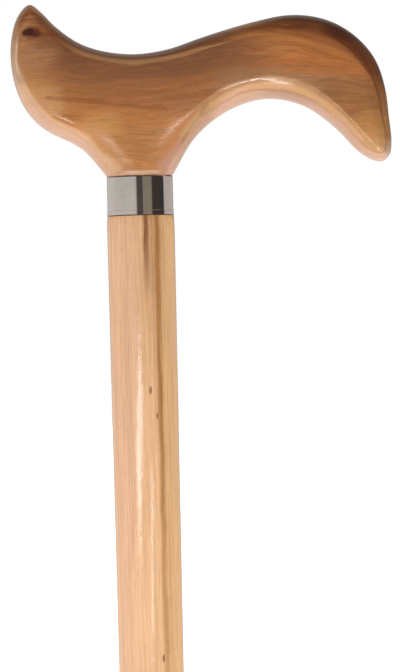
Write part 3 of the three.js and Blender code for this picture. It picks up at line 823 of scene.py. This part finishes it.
def make_stud(finish):
    """A rod with a coarse thread: one turn is spun upwards by its pitch and copied up the rod, and
    what stands past the rod's ends is cut off."""
    pitch = 1.25 * MM
    thread_depth = 0.65 * MM
    chamfer = 1.2 * MM
    steps = 24
    turns_below_foot = 1.5
    crest = stud_high.x
    root = crest - thread_depth
    # The profile of one pitch: the radius, and the share of the pitch where it is reached
    thread = [(root, 0), (root, 0.12), (crest, 0.44), (crest, 0.56), (root, 0.88), (root, 1)]
    form = bmesh.new()
    first_turn = stud_low.z - pitch * turns_below_foot
    spots = [form.verts.new((radius, 0, first_turn + share * pitch)) for radius, share in thread]
    for pair in zip(spots, spots[1:]):
        form.edges.new(pair)
    bmesh.ops.spin(
        form,
        geom=[*form.verts, *form.edges],
        axis=(0, 0, 1),
        cent=(0, 0, 0),
        dvec=(0, 0, pitch / steps),
        angle=math.tau,
        steps=steps,
    )
    turn = [*form.verts, *form.edges, *form.faces]
    for number in range(1, math.ceil((stud_high.z - stud_low.z) / pitch) + 2):
        copied = bmesh.ops.duplicate(form, geom=turn)["geom"]
        copied = [part for part in copied if isinstance(part, bmesh.types.BMVert)]
        bmesh.ops.translate(form, verts=copied, vec=(0, 0, pitch * number))
    bmesh.ops.remove_doubles(form, verts=form.verts, dist=WELD)
    for height, outward in ((stud_low.z, -1), (stud_high.z, 1)):
        geometry = [*form.verts, *form.edges, *form.faces]
        plane = {"plane_co": (0, 0, height), "plane_no": (0, 0, outward)}
        bmesh.ops.bisect_plane(form, geom=geometry, clear_outer=True, dist=WELD, **plane)
        rim = [edge for edge in form.edges if edge.is_boundary]
        rim = [edge for edge in rim if abs(edge.verts[0].co.z - height) < WELD * 10]
        bmesh.ops.edgeloop_fill(form, edges=rim)
    for vertex in form.verts:
        inside = min(vertex.co.z - stud_low.z, stud_high.z - vertex.co.z)
        widest = crest - chamfer + max(inside, 0)
        radius = vertex.co.xy.length
        if radius > widest:
            vertex.co.xy *= widest / radius
    bmesh.ops.recalc_face_normals(form, faces=form.faces)
    return finished(form, "threaded_stud", finish, "stick")


def banded(radius_at, first, last, count, height, stand, ease):
    """Profile points of raised bands at even steps on a wall between two heights."""
    points = []
    pitch = (last - first) / (count + 1)
    slope = math.copysign(1, last - first)
    for number in range(1, count + 1):
        start = first + pitch * number - slope * height / 2
        end = start + slope * height
        points += [
            (radius_at(start), start),
            (radius_at(start) + stand, start + slope * ease),
            (radius_at(end) + stand, end - slope * ease),
            (radius_at(end), end),
        ]
    return points


def make_ferrule(finish):
    foot_radius = ferrule_high.y
    head = ferrule_high.z
    base = 10 * MM
    foot_height, draft, edge_round = 6.5 * MM, 0.8 * MM, 1.4 * MM
    flare_height, wall = 13 * MM, 3.3 * MM
    lip_height, lip_stand, mouth_chamfer = 4.4 * MM, 1.1 * MM, 1 * MM
    clearance = 0.2 * MM
    bands, band_height, band_stand, band_ease = 3, 2 * MM, 0.6 * MM, 0.4 * MM
    ribs, rib_height, rib_stand, rib_ease = 3, 2.4 * MM, 0.7 * MM, 0.9 * MM
    pad, grooves, groove_width, groove_depth = 4.4 * MM, 2, 1.7 * MM, 1.5 * MM
    land = 2.9 * MM

    def socket(height):
        return shaft_radius(height) + clearance + rib_stand

    def outside(height):
        return socket(height) + wall

    tread = [(0, 0)]
    inner = pad
    for _ in range(grooves):
        outer = inner + groove_width
        tread += [(inner, 0), (inner, groove_depth), (outer, groove_depth), (outer, 0)]
        inner = outer + land
    foot_corner = (foot_radius - edge_round, edge_round)
    top_corner = (foot_radius - draft - edge_round, foot_height - edge_round)
    flare_top = foot_height + flare_height
    flare_reach = top_corner[0] - outside(flare_top)
    lip_foot = head - lip_height
    lip_middle = (outside(lip_foot), head - lip_height / 2)
    profile = [
        *tread,
        *arc(foot_corner, (edge_round, edge_round), -90, 0, 6),
        *arc(top_corner, (edge_round, edge_round), 0, 90, 6),
        *arc((top_corner[0], flare_top), (flare_reach, -flare_height), 90, 180, 16)[1:],
        *banded(outside, flare_top, lip_foot, bands, band_height, band_stand, band_ease),
        *arc(lip_middle, (lip_stand, lip_height / 2), -90, 90, 14),
        (socket(head) + mouth_chamfer, head),
        (socket(head), head - mouth_chamfer),
        *banded(socket, head, base, ribs, rib_height, -rib_stand, rib_ease),
        (socket(base), base),
        (0, base),
    ]
    form = lathe(profile, steps=128)
    return finished(form, "ferrule", finish, "tip")


def make_washer(finish):
    hole, edge_round = 2.5 * MM, 0.22 * MM
    form = lathe(
        [
            (hole, washer_low.z),
            (washer_high.x, washer_low.z),
            (washer_high.x, washer_high.z),
            (hole, washer_high.z),
            (hole, washer_low.z),
        ],
        steps=96,
    )
    rounded(form, edge_round)
    return finished(form, "ferrule_washer", finish, "tip")


# Studio


def make_camera():
    """The photograph's view: level, square to the handle's side, and leaning a little."""
    distance, farthest = 1.4, 60
    aim = Vector((18.85 * MM, 0, 808.1 * MM))
    lean = math.atan(0.0242)  # 24 mm in a metre
    data = bpy.data.cameras.new("photograph")
    camera = bpy.data.objects.new("photograph", data)
    bpy.context.scene.collection.objects.link(camera)
    level = Matrix.Rotation(math.radians(90), 4, "X")
    place = Matrix.Translation(aim - Vector((0, distance, 0)))
    camera.matrix_world = place @ level @ Matrix.Rotation(-lean, 4, "Z")
    data.sensor_width = 36
    data.lens = data.sensor_width * distance / (PHOTO_HEIGHT * PIXEL)
    data.clip_end = farthest
    bpy.context.scene.camera = camera


# Brightness of what the lacquer and the metal mirror: panels at the height of the lens, and the
# rest of the studio
LEFT_PANEL = (0.66, 0.62, 0.585)
GAP = (0.085, 0.07, 0.065)
BEIGE_PANEL = (0.30, 0.25, 0.19)
DARK_PANEL = (0.045, 0.038, 0.034)
RIGHT_PANEL = (0.56, 0.50, 0.47)
DIM = (0.07, 0.06, 0.052)
OVERHEAD = (0.12, 0.10, 0.08)
REAR = (0.33, 0.30, 0.27)
HIGH_REAR = (0.12, 0.105, 0.09)
GROUND = (0.75, 0.70, 0.64)
BACKDROP = (1.0, 1.0, 1.0)
# Brightness of the soft light that falls on everything
SKY = (0.45, 0.435, 0.42)

# The panels round the camera: the brightness, the angles between which each one stands, counted
# from the camera's side towards +X, and how soft its ends are, in degrees
PANELS = [
    (GAP, -12, 12, 2.5),
    (BEIGE_PANEL, 12, 41, 2.5),
    (DARK_PANEL, 41, 93, 3),
]


def make_surroundings():
    """What the gloss mirrors, the soft light that falls on everything, and the plain backdrop."""
    world = bpy.data.worlds.new("studio")
    world.use_nodes = True
    bpy.context.scene.world = world
    studio = Finish(world.node_tree)
    x, y, z = studio.axes(studio.node("TexCoord", output="Generated"))
    angle = x.math("ARCTAN2", x, -y) * math.degrees(1)
    height = z.math("ARCSINE", z) * math.degrees(1)
    panels = studio.varied(LEFT_PANEL, studio.noise(angle * 0.09, 0, 0), 0.32)
    for tone, first, last, soft in PANELS:
        panels = studio.blend(studio.band(angle, first, last, soft), panels, tone)
    panels = studio.blend(studio.rise(angle, 90, 100), panels, RIGHT_PANEL)
    panels = studio.blend(studio.rise(abs(angle), 150, 165), panels, REAR)
    behind = studio.rise(y, 0.05, 0.45)
    upper = studio.blend(studio.rise(height, 25, 50), DIM, OVERHEAD)
    rear = studio.blend(studio.rise(height, 35, 62), REAR, HIGH_REAR)
    rear = studio.blend(studio.rise(x, 0.15, 0.45), rear, HIGH_REAR)
    upper = studio.blend(behind, upper, rear)
    mirrored = studio.blend(studio.rise(height, 2.6, 3.4), panels, upper)
    low = studio.rise(-height, 6 - behind * 5, 25 - behind * 15)
    mirrored = studio.blend(low, mirrored, GROUND)
    colour = studio.blend(studio.node("LightPath", output="Is Glossy Ray"), SKY, mirrored)
    seen = studio.node("LightPath", output="Is Camera Ray")
    colour = studio.blend(seen, colour, BACKDROP)
    light = studio.node("Background", inputs={"Color": colour, "Strength": 1.0})
    studio.node("OutputWorld", inputs={"Surface": light})


def make_floor():
    """The floor lies lower than the ferrule at the end of its pull, for the stick is held up."""
    height, half_width = -0.06, 40
    form = bmesh.new()
    bmesh.ops.create_grid(form, x_segments=1, y_segments=1, size=half_width)
    mesh = bpy.data.meshes.new("floor")
    form.to_mesh(mesh)
    form.free()
    floor = bpy.data.objects.new("floor", mesh)
    floor.location.z = height
    bpy.context.scene.collection.objects.link(floor)

    def pale(finish):
        return {
            "Base Color": (0.85, 0.85, 0.85, 1),
            "Roughness": 0.9,
            "Emission Color": (1.0, 0.98, 0.96, 1),
            "Emission Strength": 0.95,
        }

    mesh.materials.append(material("pale floor", pale))
    floor.visible_glossy = False


def make_lamp(name, piece, centre, size, twist, radiance):
    """A rectangular lamp in a plane that faces the stick, twisted about +Y by an angle in degrees.
    It shines only in the gloss of one piece and isn't seen itself."""
    data = bpy.data.lights.new(name, "AREA")
    data.shape = "RECTANGLE"
    data.size, data.size_y = size
    data.energy = radiance * math.pi * size[0] * size[1]
    lamp = bpy.data.objects.new(name, data)
    bpy.context.scene.collection.objects.link(lamp)
    facing = Matrix.Rotation(math.radians(90), 4, "X")
    twisted = Matrix.Rotation(math.radians(twist), 4, "Y")
    lamp.matrix_world = Matrix.Translation(centre) @ twisted @ facing
    lamp.visible_camera = lamp.visible_diffuse = False
    lit = bpy.data.collections.new(name)
    lit.objects.link(piece)
    lamp.light_linking.receiver_collection = lit


def make_lamps(handle, shaft):
    """Each lamp is named for what shines in it."""
    make_lamp("arch", handle, (0.089, -0.35, 0.567), (0.051, 0.316), 15.5, 17)
    make_lamp("end of the arch", handle, (0.02, -0.13, 0.56), (0.045, 0.22), 7, 15)
    make_lamp("belly", handle, (-0.174, -0.35, 0.695), (0.033, 0.16), 40, 16)
    make_lamp("shaft", shaft, (-0.1, -0.25, 0.765), (0.042, 0.122), 62, 9)
    make_lamp("shaft's thin line", shaft, (0.053, -0.25, 0.720), (0.009, 0.1), 46.6, 18)


make_camera()
make_surroundings()
make_floor()
handle = make_handle(material("lacquered handle wood", handle_wood))
make_collar(material("polished collar metal", polished_metal))
shaft = make_shaft(material("lacquered shaft wood", shaft_wood))
make_lamps(handle, shaft)
steel = material("plated steel", plated_steel)
make_stud(steel)
make_ferrule(material("black rubber", black_rubber))
make_washer(steel)
bpy.context.scene.view_settings.view_transform = "Standard"
